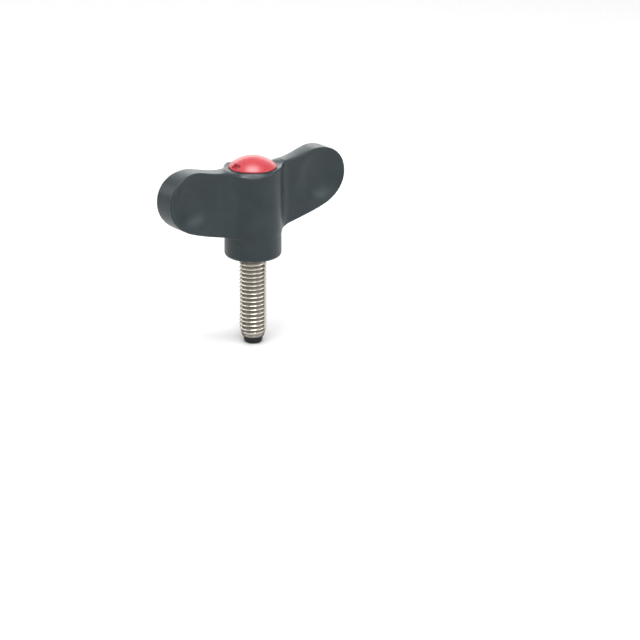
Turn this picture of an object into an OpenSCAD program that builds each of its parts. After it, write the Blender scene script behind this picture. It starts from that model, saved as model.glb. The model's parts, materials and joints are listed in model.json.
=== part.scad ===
// Wing screw: a moulded grip with two wings and a snap-in cap, on a metal stud with a soft tip.
// The origin is the centre of the hub's seat face. +Z points to the cap and +X along one wing.

/* [Wings] */
// Overall length across the two wing tips
wing_span = 63; // [61:0.5:65]
// Height of the wings' highest points above the seat face
lobe_height = 29.2; // [28.6:0.1:30]
// Height of the low saddle between a wing and the cap
neck_height = 27.5; // [27.2:0.1:28]
// Thickness that the wings taper to at the stud's axis
root_thickness = 3; // [2.6:0.1:3.6]
// Thickness of the wings at their tips
tip_thickness = 7.5; // [7:0.1:8]
// Radius of the thumb recess, seen from the front
recess_r = 7.5; // [6.5:0.1:7.8]
// Depth of the thumb recess below the wing's face
recess_depth = 1.6; // [1:0.1:2]

/* [Hub] */
// Diameter of the hub at its seat face
seat_d = 16.8; // [16.5:0.1:18]
// Diameter of the hub at its front shoulder
shoulder_d = 16.5; // [16:0.1:16.5]
// Height of the lowest point of the shoulder's edge above the seat face
shoulder_height = 25; // [24.6:0.1:25.6]
// Radius of the hollow corners between hub and wings
web_fillet_r = 4.5; // [4:0.1:5]
// Rounding of the hub's edge at the seat face
seat_round_r = 1; // [0.5:0.1:1.5]

/* [Cap] */
// Diameter of the cap
cap_d = 13.9; // [13.6:0.1:14.1]
// Height of the face that the cap sits on
cap_seat_height = 26.65; // [26.5:0.05:26.8]
// Height of the domed top above the cap's edge
dome_height = 2.95; // [2.5:0.05:3.4]
// Width of the pry notch in the cap's edge
notch_w = 3.6; // [2:0.1:5]
// Diameter of the socket under the cap
socket_d = 11.4; // [10.8:0.1:11.6]

/* [Stud] */
// Nominal diameter of the thread
thread_d = 8; // [7:0.5:8.5]
// Pitch of the thread
thread_pitch = 1.25; // [1:0.05:1.5]
// Length of the stud below the seat face
stud_length = 25; // [16:1:50]
// Diameter of the collar that shows in the seat face
collar_d = 10.3; // [10:0.1:11]
// Diameter of the knurled anchor inside the hub
anchor_d = 9.8; // [9:0.1:10]
// Height of the anchor's top inside the hub
anchor_height = 14; // [10:0.5:15]

/* [Tip pad] */
// Diameter of the pad's head
pad_d = 5.6; // [5:0.1:6]
// Distance that the pad stands out of the stud
pad_projection = 2.1; // [1:0.1:2.5]
// Diameter of the pad's peg, pressed into the stud
peg_d = 3.6; // [3:0.1:4]
// Length of the pad's peg
peg_length = 4; // [3:0.5:6]

/* [Hidden] */
$fn = 96;
edge_steps = 8;
cut_margin = 1;

half_span = wing_span / 2;
widest_z = 20.8;
lobe_x = half_span - 9.2;
underside = [half_span - 7.5, 11.5];
neck_x = 11;
root = [neck_x, 7.7];
root_end_z = 7.2;
recess_center = [half_span - 9.3, widest_z];
taper = (tip_thickness - root_thickness) / wing_span;

seat_r = seat_d / 2;
shoulder_r = shoulder_d / 2;
cap_r = cap_d / 2;
lip_r = cap_r + 0.2;
lip_slope = 0.65;
socket_r = socket_d / 2;
socket_floor = anchor_height + 2;

flange_edge = 0.3;
dome_r = (cap_r * cap_r + dome_height * dome_height) / (2 * dome_height);
dome_center_z = cap_seat_height + flange_edge + dome_height - dome_r;
notch_depth = 1.2;
cap_wall = 1.3;
skirt_r = socket_r - 0.22;
skirt_depth = 4.5;
skirt_slot_w = 1.2;
bead_r = socket_r - 0.07;
bead_h = 0.8;

thread_r = thread_d / 2;
thread_depth = 0.6134 * thread_pitch;
thread_clearance = 0.1;
groove_half = 7 / 16 * thread_pitch;
chamfer_length = 2.5;
chamfer_r = thread_r - 0.8;
land_length = 0.25;
relief_end = 1.2;
relief_r = thread_r - thread_depth - 0.05;
first_groove = relief_end + thread_pitch / 8 + groove_half;
collar_height = 1.2;
waist_top = 3;
waist_r = thread_r + 0.2;
knurl_squares = 6;
pad_chamfer = 0.4;

function bezier(p, t) =
    pow(1 - t, 3) * p[0] + 3 * pow(1 - t, 2) * t * p[1] + 3 * (1 - t) * t * t * p[2] + pow(t, 3) * p[3];
function stretch(p) = [for (i = [0:edge_steps - 1]) bezier(p, i / edge_steps)];

// Lower end of an outline, from the root of the wing to the hub's axis.
underside_root = concat(stretch([root, root - [1, 0.25], [9, root_end_z], [8, root_end_z]]),
    [[8, root_end_z], [0, root_end_z]]);

// Outline of one wing, seen from the front: along the top from the axis, round the tip and back below.
function wing_outline() = concat(
    [[0, shoulder_height], [lip_r - 0.6, shoulder_height], [lip_r, cap_seat_height]],
    stretch([[lip_r, cap_seat_height], [8, neck_height - 0.2], [9, neck_height], [neck_x, neck_height]]),
    stretch([[neck_x, neck_height], [15, neck_height], [lobe_x - 3.5, lobe_height], [lobe_x, lobe_height]]),
    stretch([[lobe_x, lobe_height], [lobe_x + 5.5, lobe_height], [half_span, widest_z + 4.9],
             [half_span, widest_z]]),
    stretch([[half_span, widest_z], [half_span, widest_z - 4.6], underside + [4.1, 1.6], underside]),
    stretch([underside, underside - [3.7, 1.5], root + [3.5, 0.9], root]),
    underside_root);

// Outline of the shoulder and webs on the front half. Its top climbs from one wing's low edge to the other's
// high one, so that with the back half, turned round, it winds past the cap.
function web_outline() = concat(
    stretch([[-neck_x - 1, neck_height - 0.6], [-9.8, neck_height - 1.3], [-8, shoulder_height],
             [-5.5, shoulder_height]]),
    stretch([[-5.5, shoulder_height], [-2.5, shoulder_height], [1.5, neck_height - 0.2],
             [6, neck_height - 0.2]]),
    [[neck_x + 1, neck_height - 0.2], root + [1, 0.25]],
    underside_root,
    [for (i = [len(underside_root) - 2:-1:0]) [-underside_root[i][0], underside_root[i][1]]],
    [[-root[0] - 1, root[1] + 0.25]]);

module both_sides() {
    children();
    mirror([1, 0, 0]) children();
}

module upright(depth) {
    rotate([90, 0, 0]) linear_extrude(depth, center = true) children();
}

module wings() {
    both_sides() intersection() {
        upright(2 * tip_thickness) polygon(wing_outline());
        linear_extrude(lobe_height + cut_margin) polygon([
            [0, -root_thickness / 2],
            [half_span + cut_margin, -root_thickness / 2 - taper * (half_span + cut_margin)],
            [half_span + cut_margin, root_thickness / 2 + taper * (half_span + cut_margin)],
            [0, root_thickness / 2]]);
    }
}

// One hollow corner in plan: a triangle from the axis, less the circle that touches hub and wing.
module web_corner() {
    reach = shoulder_r + web_fillet_r;
    tilt = atan(taper);
    offset_y = web_fillet_r + root_thickness / 2 * cos(tilt);
    lift = asin(offset_y / reach) + tilt;
    middle = reach * [cos(lift), sin(lift)];
    difference() {
        polygon([[0, 0], middle, middle + web_fillet_r * [sin(tilt), -cos(tilt)]]);
        translate(middle) circle(web_fillet_r);
    }
}

module front_webs() {
    intersection() {
        translate([0, -seat_d / 2, 0]) upright(seat_d) polygon(web_outline());
        linear_extrude(lobe_height) {
            circle(shoulder_r);
            mirror([0, 1, 0]) web_corner();
            rotate(180) web_corner();
        }
    }
}

module hub() {
    rotate_extrude() polygon(concat(
        [[0, 0]],
        [for (i = [0:edge_steps]) let (a = 90 * i / edge_steps)
            [seat_r - seat_round_r + seat_round_r * sin(a), seat_round_r - seat_round_r * cos(a)]],
        [[shoulder_r, shoulder_height], [lip_r, cap_seat_height], [0, cap_seat_height]]));
}

module thumb_recesses() {
    ball_r = (recess_r * recess_r + recess_depth * recess_depth) / (2 * recess_depth);
    face_y = root_thickness / 2 + taper * recess_center[0];
    for (side = [-1, 1]) {
        translate([recess_center[0], side * (face_y + ball_r - recess_depth), recess_center[1]])
            rotate([90, 0, 0]) sphere(ball_r);
    }
}

// Shape that the hub is moulded round: collar, waist and knurled anchor.
module anchor() {
    cylinder(d = collar_d, h = collar_height);
    cylinder(r = waist_r, h = anchor_height - cut_margin);
    translate([0, 0, waist_top]) linear_extrude(anchor_height - waist_top) {
        for (i = [0:knurl_squares - 1]) {
            rotate(90 / knurl_squares * i) square(anchor_d / sqrt(2), center = true);
        }
    }
}

module wing_body() {
    color("darkslategray") difference() {
        union() {
            hub();
            wings();
            front_webs();
            rotate(180) front_webs();
        }
        both_sides() thumb_recesses();
        anchor();
        translate([0, 0, socket_floor]) cylinder(r = socket_r, h = lobe_height);
        translate([0, 0, cap_seat_height])
            cylinder(r1 = lip_r, r2 = lip_r + lobe_height / lip_slope, h = lobe_height);
    }
}

module cap_solid() {
    intersection() {
        translate([0, 0, dome_center_z]) sphere(dome_r);
        translate([0, 0, cap_seat_height]) cylinder(r = cap_r, h = 2 * dome_height);
    }
    translate([0, 0, cap_seat_height - skirt_depth]) cylinder(r = skirt_r, h = skirt_depth);
    translate([0, 0, cap_seat_height - skirt_depth + bead_h / 2]) cylinder(r = bead_r, h = bead_h);
}

module cap() {
    color("crimson") difference() {
        cap_solid();
        translate([0, 0, cap_seat_height - skirt_depth - cut_margin])
            cylinder(r = skirt_r - cap_wall, h = skirt_depth + cut_margin + cap_wall);
        for (turn = [45, 135]) {
            rotate(turn) translate([0, 0, cap_seat_height - skirt_depth])
                cube([3 * skirt_r, skirt_slot_w, 2 * (skirt_depth - cap_wall)], center = true);
        }
        translate([-cap_r - cut_margin, -notch_w / 2, cap_seat_height + flange_edge])
            cube([notch_depth + cut_margin, notch_w, dome_height]);
    }
}

// One ring-shaped groove of the thread: a 60 degree V with a flat root.
module thread_groove() {
    outer_r = thread_r + thread_clearance;
    root_r = thread_r - thread_depth;
    outer_half = groove_half + thread_clearance * tan(30);
    root_half = groove_half - thread_depth * tan(30);
    rotate_extrude()
        polygon([[outer_r, -outer_half], [root_r, -root_half], [root_r, root_half], [outer_r, outer_half]]);
}

module threaded_stud() {
    color("silver") difference() {
        union() {
            anchor();
            translate([0, 0, chamfer_length - stud_length]) cylinder(r = thread_r, h = stud_length);
            translate([0, 0, -stud_length]) cylinder(r1 = chamfer_r, r2 = thread_r, h = chamfer_length);
        }
        translate([0, 0, -relief_end]) difference() {
            cylinder(r = thread_r + cut_margin, h = relief_end - land_length);
            cylinder(r = relief_r, h = relief_end - land_length);
        }
        for (z = [-first_groove:-thread_pitch:-stud_length]) {
            translate([0, 0, z]) thread_groove();
        }
        translate([0, 0, -stud_length - cut_margin]) cylinder(d = peg_d, h = peg_length + cut_margin);
    }
}

module tip_pad() {
    color("black") {
        translate([0, 0, -stud_length - pad_projection])
            cylinder(d1 = pad_d - 2 * pad_chamfer, d2 = pad_d, h = pad_chamfer);
        translate([0, 0, -stud_length - pad_projection + pad_chamfer])
            cylinder(d = pad_d, h = pad_projection - pad_chamfer);
        translate([0, 0, -stud_length]) cylinder(d = peg_d, h = peg_length);
    }
}

wing_body();
cap();
threaded_stud();
tip_pad();
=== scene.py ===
"""Looks of the wing screw: moulded grip, snap-in cap, threaded stud and tip pad, in a plain pale studio."""

import json
import math

import bpy
import numpy as np
from mathutils import Matrix, Vector


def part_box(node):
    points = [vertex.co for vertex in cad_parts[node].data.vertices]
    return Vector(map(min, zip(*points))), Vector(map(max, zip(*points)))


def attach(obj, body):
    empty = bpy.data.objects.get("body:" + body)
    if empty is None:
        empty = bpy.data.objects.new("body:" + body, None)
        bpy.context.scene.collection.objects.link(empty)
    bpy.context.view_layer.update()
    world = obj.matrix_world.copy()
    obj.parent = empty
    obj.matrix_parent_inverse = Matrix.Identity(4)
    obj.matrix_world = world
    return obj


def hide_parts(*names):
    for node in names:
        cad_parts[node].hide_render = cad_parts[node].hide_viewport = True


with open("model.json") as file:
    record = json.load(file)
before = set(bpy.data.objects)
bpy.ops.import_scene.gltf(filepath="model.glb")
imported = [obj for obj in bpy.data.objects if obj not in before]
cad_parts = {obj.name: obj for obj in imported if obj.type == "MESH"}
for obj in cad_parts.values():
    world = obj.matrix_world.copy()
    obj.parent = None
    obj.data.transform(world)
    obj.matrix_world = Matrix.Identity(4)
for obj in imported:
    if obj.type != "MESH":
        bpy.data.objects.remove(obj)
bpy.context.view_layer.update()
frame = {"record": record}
MM = 0.001

# ---------------------------------------------------------------- sizes, in millimetres, from the frame


def node_box(node):
    """Lowest and highest corner of a CAD node, in millimetres."""
    low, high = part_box(node)
    return np.array(low) / MM, np.array(high) / MM


BODY_LOW, BODY_HIGH = node_box("wing_body")
CAP_LOW, CAP_HIGH = node_box("cap")
STUD_LOW, STUD_HIGH = node_box("threaded_stud")
PAD_LOW, PAD_HIGH = node_box("tip_pad")

HALF_SPAN = BODY_HIGH[0]
LOBE_Z = BODY_HIGH[2]
SEAT_R = BODY_HIGH[1]
CAP_R = CAP_HIGH[0]
CAP_TOP = CAP_HIGH[2]
COLLAR_R = STUD_HIGH[0]
STUD_END = STUD_LOW[2]
ANCHOR_TOP = STUD_HIGH[2]
PAD_R = PAD_HIGH[0]
PAD_END = PAD_LOW[2]
PEG_TOP = PAD_HIGH[2]

# Grip: shoulder, neck between hub and wing, widest and highest places of the wing
SHOULDER_R = 8.25
SHOULDER_Z = 25.0
NECK_X = 11.0
NECK_Z = 27.5
WIDEST_Z = 20.8
LOBE_X = HALF_SPAN - 9.2
# Half the wing's thickness at the axis, and its growth for each millimetre along the wing
ROOT_HALF = 1.5
TAPER = 4.5 / 63
# Rounding: hollow corners between hub and wings, then edges of the seat, recess, wing outline and top
WEB_ROUND = 4.5
WING_JOIN_ROUND = 0.9
SEAT_ROUND = 1.0
RECESS_ROUND = 0.7
WING_ROUND = 0.45
TOP_ROUND = 0.35
# Thumb recess
RECESS_R = 7.8
RECESS_DEPTH = 1.8
RECESS_X = HALF_SPAN - 9.3
# Cap, its seat in the grip, and the socket below
SKIRT_DEPTH = 4.5
CAP_SEAT = CAP_LOW[2] + SKIRT_DEPTH
LIP_R = CAP_R + 0.2
SOCKET_R = 5.7
SOCKET_FLOOR = ANCHOR_TOP + 2
FLANGE_EDGE = 0.3
CAP_WALL = 1.3
SKIRT_R = SOCKET_R - 0.22
BEAD_R = SOCKET_R - 0.07
SLOT_HALF = 0.6
NOTCH_DEPTH = 1.7
NOTCH_HALF = 1.5
NOTCH_FLOOR = 0.2
# Stud inside the hub: collar, waist and knurled anchor, with a small gap to the moulding
COLLAR_TOP = 1.2
WAIST_R = 4.2
WAIST_TOP = 3.0
KNURL_R = 4.9
KNURL_DEPTH = 0.35
KNURL_TEETH = 24
BED_GAP = 0.03
# Thread, its chamfer at the free end and its relief at the collar
THREAD_R = frame["record"]["mounts"][0]["dims"]["r_mm"]
PITCH = 1.25
THREAD_DEPTH = 0.6134 * PITCH
CREST_SHARE = 0.14
CHAMFER_DEPTH = 0.8
CHAMFER_LENGTH = 2.5
RELIEF_END = -1.1
# Tip pad
PEG_R = 1.8
PAD_ROUND = 0.9
# Heights past everything, and the radius of the first ring round the axis of a turned piece
BELOW_ALL = -9
ABOVE_ALL = 60
AXIS_R = 0.02

# ---------------------------------------------------------------- solids as distance fields


def join(a, b, r):
    """Union of two distance fields, with a hollow corner of radius r."""
    return np.maximum(r, np.minimum(a, b)) - np.hypot(np.maximum(r - a, 0), np.maximum(r - b, 0))


def cut(a, b, r):
    """Common part of two distance fields, with its edge rounded to radius r."""
    return np.minimum(-r, np.maximum(a, b)) + np.hypot(np.maximum(r + a, 0), np.maximum(r + b, 0))


def drum(radius, z, r, low, high):
    """Distance to a round bar of radius r between two heights."""
    return np.maximum(radius - r, np.maximum(low - z, z - high))


def curve_points(p, steps=24):
    """Points along a cubic curve with four control points, without the last one."""
    t = np.linspace(0, 1, steps, endpoint=False)[:, None]
    p = np.array(p, float)
    return (1 - t) ** 3 * p[0] + 3 * (1 - t) ** 2 * t * p[1] + 3 * (1 - t) * t**2 * p[2] + t**3 * p[3]


def wing_outline():
    """Closed outline of one wing seen from the front, open towards the top above the neck."""
    under = np.array([HALF_SPAN - 7.5, 11.5])
    root = np.array([NECK_X, 7.7])
    neck = [NECK_X, NECK_Z]
    tip = [HALF_SPAN, WIDEST_Z]
    above = LOBE_Z + 8
    return np.vstack([
        [[-2, above], [NECK_X - 1.5, above]],
        curve_points([[NECK_X - 1.5, above], [NECK_X - 1.5, NECK_Z], [NECK_X - 1, NECK_Z], neck], 8),
        curve_points([neck, [15, NECK_Z], [LOBE_X - 3.5, LOBE_Z], [LOBE_X, LOBE_Z]]),
        curve_points([[LOBE_X, LOBE_Z], [LOBE_X + 5.5, LOBE_Z], [HALF_SPAN, WIDEST_Z + 4.9], tip]),
        curve_points([tip, [HALF_SPAN, WIDEST_Z - 4.6], under + [4.1, 1.6], under]),
        curve_points([under, under - [3.7, 1.5], root + [3.5, 0.9], root]),
        curve_points([root, root - [1, 0.25], [9, 7.2], [8, 7.2]], 12),
        [[8, 7.2], [-2, 7.2]],
    ])


class Table:
    """Values on a fine square grid, read between its points."""

    def __init__(self, low, step, values):
        self.low, self.step, self.values = low, step, values

    def __call__(self, a, b):
        i = np.clip((a - self.low[0]) / self.step, 0, self.values.shape[0] - 1.001)
        j = np.clip((b - self.low[1]) / self.step, 0, self.values.shape[1] - 1.001)
        i0, j0 = i.astype(int), j.astype(int)
        u, v = i - i0, j - j0
        t = self.values
        low_row = t[i0, j0] * (1 - v) + t[i0, j0 + 1] * v
        high_row = t[i0 + 1, j0] * (1 - v) + t[i0 + 1, j0 + 1] * v
        return low_row * (1 - u) + high_row * u


def outline_distance(points, low, high, step=0.2):
    """Signed distance to a closed outline, as a table over the x-z plane."""
    x, z = np.meshgrid(*[np.arange(a, b + step, step) for a, b in zip(low, high)], indexing="ij")
    nearest = np.full(x.shape, np.inf)
    inside = np.zeros(x.shape, bool)
    for (ax, az), (bx, bz) in zip(points, np.roll(points, -1, axis=0)):
        dx, dz = bx - ax, bz - az
        along = np.clip(((x - ax) * dx + (z - az) * dz) / max(dx * dx + dz * dz, 1e-12), 0, 1)
        nearest = np.minimum(nearest, np.hypot(x - ax - along * dx, z - az - along * dz))
        if az != bz:
            inside ^= ((az > z) != (bz > z)) & (x < ax + (z - az) / dz * dx)
    return Table(low, step, np.where(inside, -nearest, nearest))


def softened(values, rounds):
    """The same grid with its creases smoothed away."""
    for _ in range(rounds):
        for axis in (0, 1):
            edge = [(1, 1) if k == axis else (0, 0) for k in (0, 1)]
            wide = np.pad(values, edge, mode="edge")
            before = np.take(wide, range(0, values.shape[axis]), axis)
            after = np.take(wide, range(2, values.shape[axis] + 2), axis)
            values = values / 2 + (before + after) / 4
    return values


WING = outline_distance(wing_outline(), (-3, 2), (HALF_SPAN + 2, LOBE_Z + 4))
# The grip's top, by distance from the axis along the wing: height of its middle, how far its edges lie below
# that, how far one edge lies above the other where the top winds past the cap, and where its edges are.
TOP_X = [0, 1.8, 3, 4, 5.6, 7.4, 9, 10.5, 12.1, 15.4, 20, 40]
TOP_MIDDLE = [26.8, 26.8, 26.8, 26.8, 26.8, 26.8, 27.3, 27.5, 27.55, 28.0, 29.1, 40]
TOP_DROP = [0.75, 0.7, 0.6, 0.6, 0.6, 0.5, 0.65, 0.6, 0.45, 0.35, 0.3, 0.3]
TOP_WIND = [0, 0.37, 0.72, 0.95, 0.98, 0.55, 0.25, 0.18, 0.12, 0.07, 0, 0]
EDGE_X = [0, 2, 4, 5.5, 6.5, 7.5, 9, 10.5, 12, 31]
EDGE_Y = [8.25, 8, 7.2, 6.1, 5.1, 4.2, 3.2, 2.7, 2.5, 3.7]


def top_table(step=0.2):
    """Height of the grip's top surface, which is the same after half a turn but has no mirror plane."""
    low, high = (-HALF_SPAN - 1, -SEAT_R - 1), (HALF_SPAN + 1, SEAT_R + 1)
    x, y = np.meshgrid(*[np.arange(a, b + step, step) for a, b in zip(low, high)], indexing="ij")
    side = np.abs(x)
    across = np.clip(np.abs(y) / np.interp(side, EDGE_X, EDGE_Y), 0, 1)
    rise = np.interp(side, TOP_X, TOP_MIDDLE) - across**2 * np.interp(side, TOP_X, TOP_DROP)
    rise = rise - np.sign(x) * np.sign(y) * across * np.interp(side, TOP_X, TOP_WIND)
    share = np.clip((np.hypot(x, y) - LIP_R) / (SHOULDER_R - LIP_R), 0, 1.1)
    return Table(low, step, softened(CAP_SEAT + (softened(rise, 12) - CAP_SEAT) * share, 2))


TOP = top_table()


def grip_field(x, y, z):
    """The moulding: hub, wings with thumb recesses, cap socket and the hollow round the stud's anchor."""
    top = (z - TOP(x, y)) * 0.75
    x, y = np.abs(x), np.abs(y)
    radius = np.hypot(x, y)
    hub_r = SEAT_R + (SHOULDER_R - SEAT_R) * z / SHOULDER_Z
    ball_r = (RECESS_R**2 + RECESS_DEPTH**2) / (2 * RECESS_DEPTH)
    ball_y = ROOT_HALF + TAPER * RECESS_X + ball_r - RECESS_DEPTH
    ball = np.sqrt((x - RECESS_X) ** 2 + (y - ball_y) ** 2 + (z - WIDEST_Z) ** 2) - ball_r
    side = cut((y - ROOT_HALF - TAPER * x) * math.cos(TAPER), -ball, RECESS_ROUND)
    plan = join(radius - hub_r + 0.4, side, WEB_ROUND)
    wing = cut(plan, WING(x, z), WING_ROUND)
    hub = cut(radius - hub_r, -z, SEAT_ROUND)
    solid = cut(join(hub, wing, WING_JOIN_ROUND), top, TOP_ROUND)
    solid = cut(solid, -drum(radius, z, LIP_R, CAP_SEAT, ABOVE_ALL), 0.1)
    solid = cut(solid, -drum(radius, z, SOCKET_R, SOCKET_FLOOR, ABOVE_ALL), 0.15)
    collar = drum(radius, z, COLLAR_R + BED_GAP, BELOW_ALL, COLLAR_TOP + BED_GAP)
    waist = drum(radius, z, WAIST_R + BED_GAP, BELOW_ALL, WAIST_TOP + 1)
    knurl = drum(radius, z, KNURL_R + BED_GAP, WAIST_TOP - BED_GAP, ANCHOR_TOP + BED_GAP)
    return cut(solid, -np.minimum(np.minimum(collar, waist), knurl), 0.05)


def cap_field(x, y, z):
    """The snap-in cap: a dome with a pry notch, and a hollow slotted skirt with a bead."""
    radius = np.hypot(x, y)
    rise = CAP_TOP - CAP_SEAT - FLANGE_EDGE
    dome_r = (CAP_R**2 + rise**2) / (2 * rise)
    dome = np.sqrt(radius**2 + (z - CAP_TOP + dome_r) ** 2) - dome_r
    top = cut(cut(radius - CAP_R, dome, 0.12), CAP_SEAT - z, 0.08)
    notch = np.maximum(x + CAP_R - NOTCH_DEPTH, np.abs(y) - NOTCH_HALF)
    notch = np.maximum(notch, CAP_SEAT + NOTCH_FLOOR - z)
    top = cut(top, -notch, 0.12)
    skirt = drum(radius, z, SKIRT_R, CAP_LOW[2], CAP_SEAT + 0.5)
    bead = drum(radius, z, BEAD_R, CAP_LOW[2] + 0.4, CAP_LOW[2] + 1.2)
    hollow = drum(radius, z, SKIRT_R - CAP_WALL, BELOW_ALL, CAP_SEAT + CAP_WALL)
    slot = np.minimum(np.abs(x + y), np.abs(x - y)) / math.sqrt(2) - SLOT_HALF
    slot = np.maximum(slot, z - CAP_SEAT + CAP_WALL)
    skirt = cut(cut(np.minimum(skirt, bead), -slot, 0.1), -hollow, 0.1)
    return np.minimum(cut(top, -hollow, 0.2), skirt)


# ---------------------------------------------------------------- meshes from fields


def surface_cells(values):
    """Vertices, in grid steps, and quads of the surface where a grid of values changes sign."""
    inside = values < 0
    shape = np.array(values.shape) - 1
    total, count = np.zeros((*shape, 3)), np.zeros(shape)
    crossings = []
    for axis in range(3):
        near = [slice(None)] * 3
        far = [slice(None)] * 3
        near[axis], far[axis] = slice(0, -1), slice(1, None)
        a, b = values[tuple(near)], values[tuple(far)]
        crossed = inside[tuple(near)] != inside[tuple(far)]
        share = np.where(crossed, a / np.where(crossed, a - b, 1), 0)
        place = np.stack(np.indices(crossed.shape), axis=-1).astype(float)
        place[..., axis] += share
        others = [k for k in range(3) if k != axis]
        for du in (0, 1):
            for dv in (0, 1):
                part = [slice(None)] * 3
                part[others[0]] = slice(du, shape[others[0]] + du)
                part[others[1]] = slice(dv, shape[others[1]] + dv)
                here = crossed[tuple(part)]
                total += np.where(here[..., None], place[tuple(part)], 0)
                count += here
        crossings.append((axis, others, crossed, inside[tuple(near)]))
    active = count > 0
    index = np.full(shape, -1)
    index[active] = np.arange(active.sum())
    vertices = total[active] / count[active][:, None]
    quads = []
    for axis, (u, v), crossed, starts_inside in crossings:
        i = np.argwhere(crossed)
        i = i[(i[:, u] > 0) & (i[:, v] > 0) & (i[:, u] < shape[u]) & (i[:, v] < shape[v])]
        corners = []
        for du, dv in ((1, 1), (0, 1), (0, 0), (1, 0)):
            cell = i.copy()
            cell[:, u] -= du
            cell[:, v] -= dv
            corners.append(index[tuple(cell.T)])
        quad = np.stack(corners, axis=1)
        flip = starts_inside[tuple(i.T)] == (axis == 1)
        quad[flip] = quad[flip][:, ::-1]
        quads.append(quad)
    return vertices, np.vstack(quads)


def pull_to_surface(field, p, rounds=3, probe=0.01):
    """Moves points on to the surface of a field, and returns them with their outward directions."""
    for _ in range(rounds):
        slope = np.empty_like(p)
        for axis in range(3):
            shift = np.zeros(3)
            shift[axis] = probe
            slope[:, axis] = (field(*(p + shift).T) - field(*(p - shift).T)) / (2 * probe)
        steep = np.maximum((slope**2).sum(1), 0.05)[:, None]
        p = p - np.clip(field(*p.T)[:, None] * slope / steep, -0.2, 0.2)
    return p, slope / np.sqrt(steep)


def relax(field, p, quads, rounds=4):
    """Spreads the points evenly along the surface and puts them back on it."""
    pairs = np.vstack([quads[:, [k, (k + 1) % 4]] for k in range(4)])
    weight = np.bincount(pairs[:, 0], minlength=len(p))[:, None]
    for _ in range(rounds):
        around = np.stack([np.bincount(pairs[:, 0], p[pairs[:, 1], k], len(p)) for k in range(3)], axis=1)
        p, normal = pull_to_surface(field, p, 1)
        move = around / np.maximum(weight, 1) - p
        p = p + 0.5 * (move - (move * normal).sum(1)[:, None] * normal)
    return pull_to_surface(field, p, 3)[0]


def solid_from_field(name, field, low, high, step):
    """A closed quad mesh of a field, sampled between two corners."""
    axes = [np.arange(low[k] - 2 * step, high[k] + 3 * step, step) + step * 0.37 for k in range(3)]
    values = field(*np.meshgrid(*axes, indexing="ij"))
    cells, quads = surface_cells(values)
    points = np.array([a[0] for a in axes]) + cells * step
    points = relax(field, pull_to_surface(field, points)[0], quads)
    points = np.clip(points, np.array(low), np.array(high))
    return mesh_object(name, points, quads.tolist())


def mesh_object(name, points, faces):
    """A smooth-shaded mesh object from points in millimetres."""
    mesh = bpy.data.meshes.new(name)
    mesh.from_pydata((np.asarray(points) * MM).tolist(), [], faces)
    mesh.validate()
    mesh.shade_smooth()
    obj = bpy.data.objects.new(name, mesh)
    bpy.context.scene.collection.objects.link(obj)
    return obj


# ---------------------------------------------------------------- turned pieces


def turned_solid(name, rows, segments):
    """A closed solid from rows (radius at each angle, height); it starts and ends on the axis."""
    angles = np.arange(segments) * 2 * math.pi / segments
    points = []
    for radii, z in rows:
        radii = np.broadcast_to(radii, segments)
        points += [(r * math.cos(a), r * math.sin(a), z) for r, a in zip(radii, angles)]
    first, last = len(points), len(points) + 1
    points += [(0, 0, rows[0][1]), (0, 0, rows[-1][1])]
    faces = []
    for k in range(len(rows) - 1):
        for i in range(segments):
            j = (i + 1) % segments
            faces.append((k * segments + i, k * segments + j, (k + 1) * segments + j, (k + 1) * segments + i))
    top = (len(rows) - 1) * segments
    for i in range(segments):
        j = (i + 1) % segments
        faces.append((first, j, i))
        faces.append((last, top + i, top + j))
    return mesh_object(name, points, faces)


def make_stud():
    """The stud: rolled right-hand thread, chamfered bored end, relief, collar, waist and knurled anchor."""
    segments = 144
    angles = np.arange(segments) * 2 * math.pi / segments
    turns = angles / (2 * math.pi)
    relief_r = THREAD_R - THREAD_DEPTH - 0.05
    rows = [(AXIS_R, PEG_TOP), (PEG_R, PEG_TOP), (PEG_R, STUD_END + 0.1), (PEG_R + 0.1, STUD_END)]
    for z in np.arange(STUD_END, RELIEF_END - 0.2, PITCH / 16):
        phase = np.abs(((z - STUD_END) / PITCH - turns) % 1 - 0.5) * 2
        flank = np.clip((phase - CREST_SHARE) / (1 - 2 * CREST_SHARE), 0, 1)
        cone = THREAD_R - CHAMFER_DEPTH * (1 - (z - STUD_END) / CHAMFER_LENGTH)
        rows.append((np.minimum(THREAD_R - THREAD_DEPTH * flank, cone), z))
    rows += [(relief_r, RELIEF_END), (relief_r, -0.02), (relief_r + 0.02, 0)]
    rows += [(COLLAR_R - 0.15, 0), (COLLAR_R, 0.15), (COLLAR_R, COLLAR_TOP)]
    rows += [(WAIST_R, COLLAR_TOP), (WAIST_R, WAIST_TOP)]
    knurl = KNURL_R - KNURL_DEPTH * np.abs((turns * KNURL_TEETH) % 1 - 0.5) * 2
    rows += [(knurl - 0.3, WAIST_TOP), (knurl, WAIST_TOP + 0.3)]
    rows += [(knurl, ANCHOR_TOP - 0.3), (knurl - 0.3, ANCHOR_TOP), (AXIS_R, ANCHOR_TOP)]
    return turned_solid("stud", rows, segments)


def make_pad():
    """The tip pad: a round head with softened edges on a peg."""
    r, low = PAD_R, PAD_END
    arc = np.linspace(0, math.pi / 2, 7)
    rows = [(AXIS_R, low), (r - PAD_ROUND - 0.1, low)]
    rows += [(r - PAD_ROUND * (1 - math.sin(a)), low + PAD_ROUND * (1 - math.cos(a))) for a in arc]
    rows += [(r, STUD_END - 0.12), (r - 0.1, STUD_END), (PEG_R, STUD_END), (PEG_R, PEG_TOP - 0.2)]
    rows += [(PEG_R - 0.2, PEG_TOP), (AXIS_R, PEG_TOP)]
    return turned_solid("pad", rows, 96)


# ---------------------------------------------------------------- materials


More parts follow.
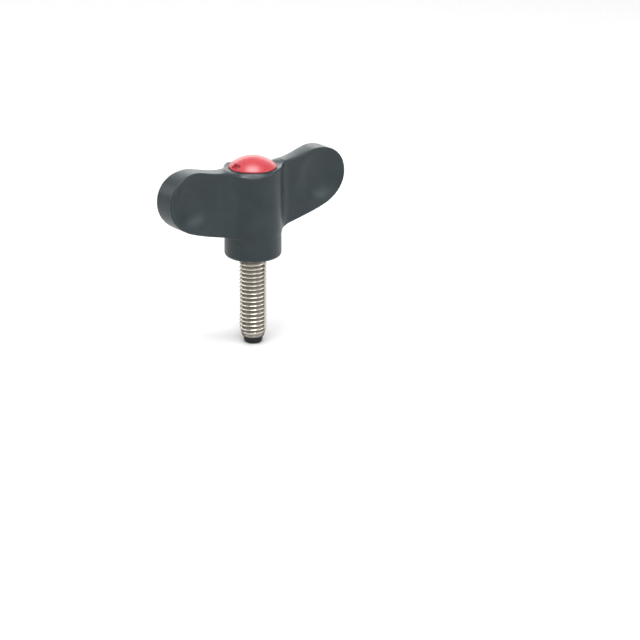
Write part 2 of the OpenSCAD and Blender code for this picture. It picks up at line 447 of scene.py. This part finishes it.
def new_material(name):
    """A material, its nodes and links, and its shader."""
    material = bpy.data.materials.new(name)
    material.use_nodes = True
    nodes = material.node_tree.nodes
    return material, nodes, material.node_tree.links, nodes["Principled BSDF"]


def noise(nodes, links, coordinates, scale, detail, roughness):
    """Even grain, from 0 to 1."""
    node = nodes.new("ShaderNodeTexNoise")
    node.inputs["Scale"].default_value = scale
    node.inputs["Detail"].default_value = detail
    node.inputs["Roughness"].default_value = roughness
    links.new(coordinates, node.inputs["Vector"])
    return node.outputs["Fac"]


def ramp(nodes, links, value, low, high, start=0.3, end=0.7):
    """Colour that goes from low to high as value goes from start to end."""
    node = nodes.new("ShaderNodeValToRGB")
    node.color_ramp.elements[0].position = start
    node.color_ramp.elements[1].position = end
    node.color_ramp.elements[0].color = (*low, 1)
    node.color_ramp.elements[1].color = (*high, 1)
    links.new(value, node.inputs["Fac"])
    return node.outputs["Color"]


def spread(nodes, links, value, low, high, start=0.3, end=0.7):
    """Number that goes from low to high as value goes from start to end."""
    node = nodes.new("ShaderNodeMapRange")
    node.inputs["From Min"].default_value = start
    node.inputs["From Max"].default_value = end
    node.inputs["To Min"].default_value = low
    node.inputs["To Max"].default_value = high
    links.new(value, node.inputs["Value"])
    return node.outputs["Result"]


def bump(nodes, links, height, distance, strength):
    """Shading normal of a rough surface with the given height."""
    node = nodes.new("ShaderNodeBump")
    node.inputs["Distance"].default_value = distance
    node.inputs["Strength"].default_value = strength
    links.new(height, node.inputs["Height"])
    return node.outputs["Normal"]


def object_coordinates(nodes):
    """Places on the object, in metres."""
    return nodes.new("ShaderNodeTexCoord").outputs["Object"]


def grip_material():
    """Dark slate-grey glass-filled polymer with a fine spark-eroded grain."""
    material, nodes, links, shader = new_material("grip_polymer")
    place = object_coordinates(nodes)
    grain = noise(nodes, links, place, 2800, 3, 0.6)
    cloud = noise(nodes, links, place, 160, 3, 0.55)
    dark, light = (0.011, 0.018, 0.021), (0.016, 0.025, 0.028)
    links.new(ramp(nodes, links, cloud, dark, light), shader.inputs["Base Color"])
    links.new(spread(nodes, links, grain, 0.32, 0.44), shader.inputs["Roughness"])
    links.new(bump(nodes, links, grain, 0.00004, 0.7), shader.inputs["Normal"])
    shader.inputs["Specular IOR Level"].default_value = 0.3
    return material


def cap_material():
    """Satin red polymer with a faint mould texture."""
    material, nodes, links, shader = new_material("cap_polymer")
    place = object_coordinates(nodes)
    grain = noise(nodes, links, place, 3000, 2, 0.5)
    cloud = noise(nodes, links, place, 220, 2, 0.5)
    dark, light = (0.30, 0.024, 0.032), (0.36, 0.034, 0.044)
    links.new(ramp(nodes, links, cloud, dark, light), shader.inputs["Base Color"])
    links.new(spread(nodes, links, grain, 0.3, 0.42), shader.inputs["Roughness"])
    links.new(bump(nodes, links, grain, 0.00001, 0.3), shader.inputs["Normal"])
    return material


def steel_material():
    """Bright rolled stainless steel, with painted shade darkening the grooves, and fine marks running round
    the thread.
    """
    material, nodes, links, shader = new_material("stud_steel")
    place = object_coordinates(nodes)
    squeeze = nodes.new("ShaderNodeMapping")
    squeeze.inputs["Scale"].default_value = (0.15, 0.15, 1)
    links.new(place, squeeze.inputs["Vector"])
    marks = noise(nodes, links, squeeze.outputs["Vector"], 5000, 2, 0.5)
    flat = nodes.new("ShaderNodeVectorMath")
    flat.operation = "MULTIPLY"
    flat.inputs[1].default_value = (1, 1, 0)
    links.new(place, flat.inputs[0])
    radius = nodes.new("ShaderNodeVectorMath")
    radius.operation = "LENGTH"
    links.new(flat.outputs["Vector"], radius.inputs[0])
    # Painted shade: the base colour darkens from crest to groove by distance from the axis, standing in for
    # the shadow in the thread's roots.
    groove_painted_shade, crest = (0.2, 0.185, 0.165), (0.72, 0.68, 0.62)
    height = spread(nodes, links, radius.outputs["Value"], 0, 1, (THREAD_R - 0.8) * MM, THREAD_R * MM)
    links.new(ramp(nodes, links, height, groove_painted_shade, crest, 0, 1), shader.inputs["Base Color"])
    links.new(spread(nodes, links, marks, 0.16, 0.24), shader.inputs["Roughness"])
    links.new(bump(nodes, links, marks, 0.000002, 0.2), shader.inputs["Normal"])
    shader.inputs["Metallic"].default_value = 1
    shader.inputs["Specular Tint"].default_value = (0, 0, 0, 1)
    return material


def pad_material():
    """Black polymer with turning marks in rings round the axis."""
    material, nodes, links, shader = new_material("tip_polymer")
    place = object_coordinates(nodes)
    rings = nodes.new("ShaderNodeTexWave")
    rings.wave_type = "RINGS"
    rings.rings_direction = "Z"
    rings.inputs["Scale"].default_value = 1100
    rings.inputs["Distortion"].default_value = 0.6
    links.new(place, rings.inputs["Vector"])
    speck = noise(nodes, links, place, 2500, 2, 0.6)
    dark, light = (0.004, 0.004, 0.004), (0.008, 0.008, 0.009)
    links.new(ramp(nodes, links, speck, dark, light), shader.inputs["Base Color"])
    links.new(spread(nodes, links, speck, 0.3, 0.45), shader.inputs["Roughness"])
    links.new(bump(nodes, links, rings.outputs["Fac"], 0.00001, 0.4), shader.inputs["Normal"])
    shader.inputs["Specular IOR Level"].default_value = 0.25
    return material


def floor_material():
    """Pale matte studio paper."""
    material, nodes, links, shader = new_material("studio_paper")
    place = object_coordinates(nodes)
    fibre = noise(nodes, links, place, 900, 4, 0.6)
    links.new(ramp(nodes, links, fibre, (0.58, 0.58, 0.58), (0.62, 0.62, 0.62)), shader.inputs["Base Color"])
    links.new(spread(nodes, links, fibre, 0.75, 0.85), shader.inputs["Roughness"])
    links.new(bump(nodes, links, fibre, 0.00002, 0.2), shader.inputs["Normal"])
    return material


# ---------------------------------------------------------------- pieces


def place_piece(obj, body, node, material):
    """Gives a piece its material and its moving body, and hides the CAD node that it stands for."""
    obj.data.materials.append(material)
    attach(obj, body)
    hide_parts(node)


grid_step = 0.25
cap_step = 0.6 * grid_step
grip = solid_from_field("grip", grip_field, BODY_LOW, BODY_HIGH, grid_step)
place_piece(grip, "grip", "wing_body", grip_material())
cap = solid_from_field("snap_cap", cap_field, CAP_LOW, CAP_HIGH, cap_step)
place_piece(cap, "cap", "cap", cap_material())
place_piece(make_stud(), "grip", "threaded_stud", steel_material())
place_piece(make_pad(), "grip", "tip_pad", pad_material())

# ---------------------------------------------------------------- studio

FLOOR_HALF = 3.0
TENT_DIM = 0.05
TENT_BRIGHT = 1.15


def make_floor():
    """A wide sheet of paper under the screw."""
    half, z = FLOOR_HALF, PAD_END * MM
    mesh = bpy.data.meshes.new("studio_floor")
    corners = [(-half, -half, z), (half, -half, z), (half, half, z), (-half, half, z)]
    mesh.from_pydata(corners, [], [(0, 1, 2, 3)])
    floor = bpy.data.objects.new("studio_floor", mesh)
    bpy.context.scene.collection.objects.link(floor)
    floor.data.materials.append(floor_material())


def area_light(name, place, size, power):
    """A softbox that points at the hub."""
    light = bpy.data.lights.new(name, "AREA")
    light.shape = "RECTANGLE"
    light.size, light.size_y = size
    light.energy = power
    obj = bpy.data.objects.new(name, light)
    bpy.context.scene.collection.objects.link(obj)
    obj.location = place
    obj.rotation_euler = (-Vector(place)).to_track_quat("-Z", "Y").to_euler()


def make_world():
    """A light tent: bright low down behind and in front of the screw, dim overhead and at its sides."""
    world = bpy.data.worlds.new("studio_world")
    bpy.context.scene.world = world
    world.use_nodes = True
    nodes, links = world.node_tree.nodes, world.node_tree.links
    place = nodes.new("ShaderNodeTexCoord").outputs["Generated"]
    behind = nodes.new("ShaderNodeVectorMath")
    behind.operation = "DOT_PRODUCT"
    behind.inputs[1].default_value = (0.6, 0.8, 0)
    links.new(place, behind.inputs[0])
    parts = nodes.new("ShaderNodeSeparateXYZ")
    links.new(place, parts.inputs["Vector"])
    either = nodes.new("ShaderNodeMath")
    either.operation = "ABSOLUTE"
    links.new(behind.outputs["Value"], either.inputs[0])
    walls = spread(nodes, links, either.outputs["Value"], TENT_DIM, TENT_BRIGHT, 0.1, 0.6)
    roof = spread(nodes, links, parts.outputs["Z"], 1, TENT_DIM, 0.55, 0.9)
    level = nodes.new("ShaderNodeMath")
    level.operation = "MULTIPLY"
    links.new(walls, level.inputs[0])
    links.new(roof, level.inputs[1])
    nodes["Background"].inputs["Color"].default_value = (1, 1, 1, 1)
    links.new(level.outputs["Value"], nodes["Background"].inputs["Strength"])


def make_camera():
    """A long lens a little above the screw, with one wing turned towards it."""
    turn, rise, distance = math.radians(37.13), math.radians(16.285), 0.6615
    target = Vector((0, 0, 0.027))
    away = Vector((math.sin(turn) * math.cos(rise), math.cos(turn) * math.cos(rise), -math.sin(rise)))
    right = Vector((math.cos(turn), -math.sin(turn), 0))
    up = right.cross(away)
    data = bpy.data.cameras.new("camera")
    data.lens = 128.6
    data.sensor_width = 36
    camera = bpy.data.objects.new("camera", data)
    bpy.context.scene.collection.objects.link(camera)
    camera.location = target - away * distance
    aim = target + right * 0.01940 - up * 0.04472
    forward = (aim - camera.location).normalized()
    side = forward.cross(up).normalized()
    camera.rotation_euler = Matrix((side, side.cross(forward), -forward)).transposed().to_euler()
    bpy.context.scene.camera = camera


make_floor()
make_world()
area_light("overhead_softbox", (-0.1, -0.12, 0.8), (0.45, 0.45), 9.5)
area_light("back_softbox", (0.78, 1.04, 0.45), (1.4, 0.5), 5.5)
area_light("left_softbox", (-0.75, 0.6, 0.5), (0.8, 0.6), 4.5)
area_light("right_softbox", (0.5, -0.66, 0.38), (0.6, 0.3), 3.5)
area_light("front_softbox", (-0.27, -0.5, 0.556), (0.22, 0.3), 1.4)
make_camera()
bpy.context.scene.view_settings.view_transform = "Standard"
